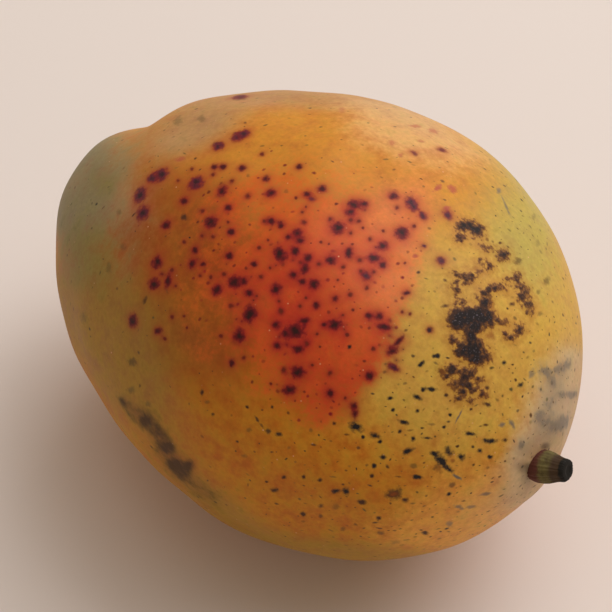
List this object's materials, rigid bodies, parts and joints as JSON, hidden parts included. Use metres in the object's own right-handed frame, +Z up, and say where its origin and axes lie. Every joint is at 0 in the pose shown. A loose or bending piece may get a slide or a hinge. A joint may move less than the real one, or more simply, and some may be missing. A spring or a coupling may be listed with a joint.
{
  "type": "mango",
  "caption": "Whole ripe mango lying on one cheek: an ovoid fruit with a small beak and sinus at its tip, and a short stem stub at its other end.",
  "frame": {"origin": "middle of the small flat spot on the cheek that the fruit rests on", "axes": "+X along the fruit's long axis towards its stem end, +Y towards the side that the beak turns to, +Z up"},
  "size_m": [0.1181, 0.0848, 0.0787],
  "materials": {
    "skin": "waxy semi-gloss fruit skin, golden yellow with an orange-red blush and dark specks",
    "stem": "matt, olive brown and dried black at the cut end"
  },
  "bodies": {
    "root": {"fruit": "skin", "stem_stub": "stem"}
  },
  "joints": []
}
